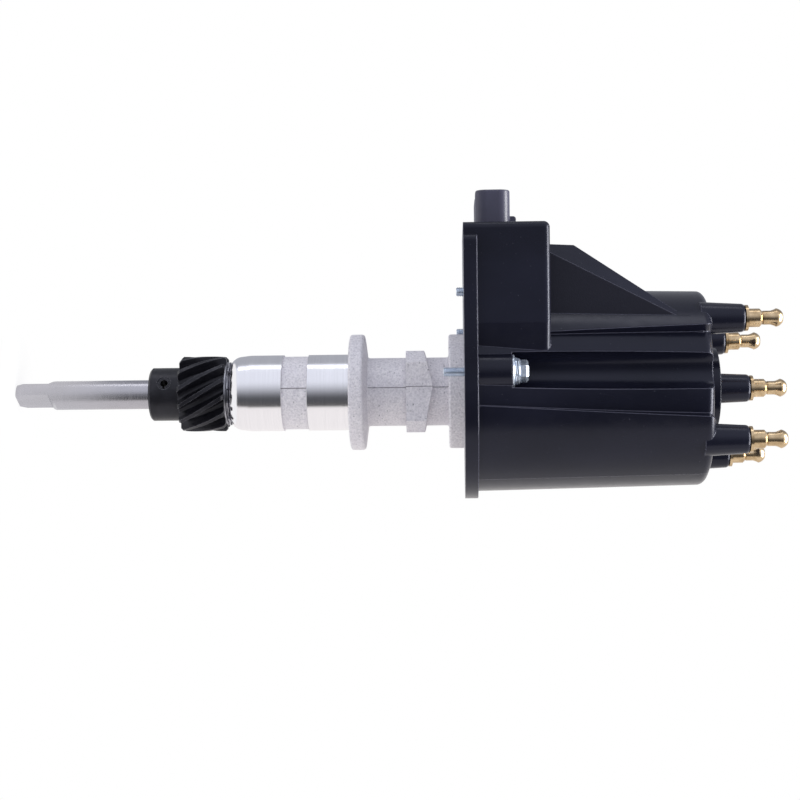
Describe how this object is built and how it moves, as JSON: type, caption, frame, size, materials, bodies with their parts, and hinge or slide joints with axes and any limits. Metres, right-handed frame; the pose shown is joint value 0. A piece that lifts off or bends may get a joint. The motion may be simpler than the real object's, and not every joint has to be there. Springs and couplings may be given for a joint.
{
  "type": "ignition distributor",
  "caption": "Ignition distributor: flanged housing, shaft with helical gear and flatted tang, black cap with side module box and snap-post towers.",
  "frame": {"origin": "centre of the clamp flange's seat face, on the shaft axis", "axes": "+Z along the shaft axis from the drive end towards the cap; the module box and its connectors face -X; +Y completes the right hand"},
  "size_m": [0.1287, 0.092, 0.3303],
  "materials": {
    "base_metal": "satin",
    "brass": "bright turned brass",
    "bronze": "sintered bronze",
    "cap_black": "glossy black moulding",
    "carbon": "carbon, modelled with the density of a filled plastic",
    "cast_aluminium": "as cast, with machined pilots",
    "coil_plastic": "moulded bobbin",
    "connector_plastic": "matte dark grey",
    "core_steel": "pressed steel",
    "gear_black": "black oxide on steel, oiled",
    "magnet": "ferrite ring",
    "module_plastic": "potted case",
    "pin_tin": "tinned blades",
    "rotor_plastic": "moulded phenolic",
    "seal_rubber": "matte",
    "shaft_steel": "ground satin steel",
    "spring_steel": "spring steel",
    "washer_steel": "bright steel",
    "zinc": "bright zinc plate"
  },
  "bodies": {
    "housing_body": {"tabbed_washer": "washer_steel", "housing": "cast_aluminium", "lower_bushing": "bronze", "upper_bushing": "bronze", "base_plate": "base_metal", "base_plate_screws": "zinc", "distributor_cap": "cap_black", "cap_gasket": "seal_rubber", "spark_terminal_1": "brass", "spark_terminal_2": "brass", "spark_terminal_3": "brass", "spark_terminal_4": "brass", "coil_terminal": "brass", "brush_spring": "spring_steel", "cap_screw_washers": "zinc", "cap_screws": "zinc", "pickup_coil": "coil_plastic", "pickup_magnet": "magnet", "pole_piece": "core_steel", "pickup_retainer": "spring_steel", "module_heat_sink": "base_metal", "ignition_module": "module_plastic", "module_screws": "zinc", "connector_housing": "connector_plastic", "connector_pins": "pin_tin"},
    "shaft_body": {"main_shaft": "shaft_steel", "drive_gear": "gear_black", "roll_pin": "gear_black", "thrust_washer": "washer_steel", "shim": "washer_steel", "timer_core": "core_steel", "rotor_body": "rotor_plastic", "rotor_electrode": "brass", "rotor_contact_spring": "spring_steel", "rotor_screws": "zinc"},
    "brush_body": {"carbon_brush": "carbon"}
  },
  "joints": [
    {"name": "shaft_spin", "type": "hinge", "parent": "housing_body", "child": "shaft_body", "pos_m": [0, 0, 0], "axis": [0, 0, 1], "continuous": true},
    {"name": "brush_slide", "type": "slide", "parent": "housing_body", "child": "brush_body", "axis": [0, 0, 1], "range_m": [0, 0.002], "stiffness_N_per_m": 60, "springref_m": -0.004, "deforming": ["brush_spring"]}
  ]
}
